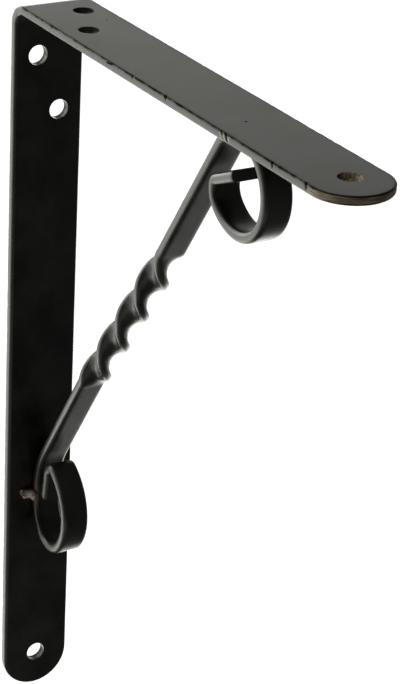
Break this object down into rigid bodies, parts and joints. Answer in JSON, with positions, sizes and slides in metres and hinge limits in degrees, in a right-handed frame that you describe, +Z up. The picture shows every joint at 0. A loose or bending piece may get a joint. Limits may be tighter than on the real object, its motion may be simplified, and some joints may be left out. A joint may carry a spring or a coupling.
{
  "type": "shelf bracket",
  "caption": "Black steel shelf bracket: a flat bar bent to a right angle, with a twisted and scrolled brace welded across its corner.",
  "frame": {"origin": "on the back of the leg, where it lies on the wall, at mid width, 28 mm below the shelf face and between the two upper screw holes", "axes": "+X away from the wall along the arm, +Y across the bar, +Z up along the leg"},
  "size_m": [0.1879, 0.025, 0.2599],
  "materials": {
    "bar_paint": "satin black paint on steel",
    "brace_paint": "satin black paint on steel",
    "weld_paint": "thin black paint over a rough weld"
  },
  "bodies": {
    "root": {"angle_bar": "bar_paint", "twisted_brace": "brace_paint", "weld_at_leg": "weld_paint", "weld_at_arm": "weld_paint"}
  },
  "joints": []
}
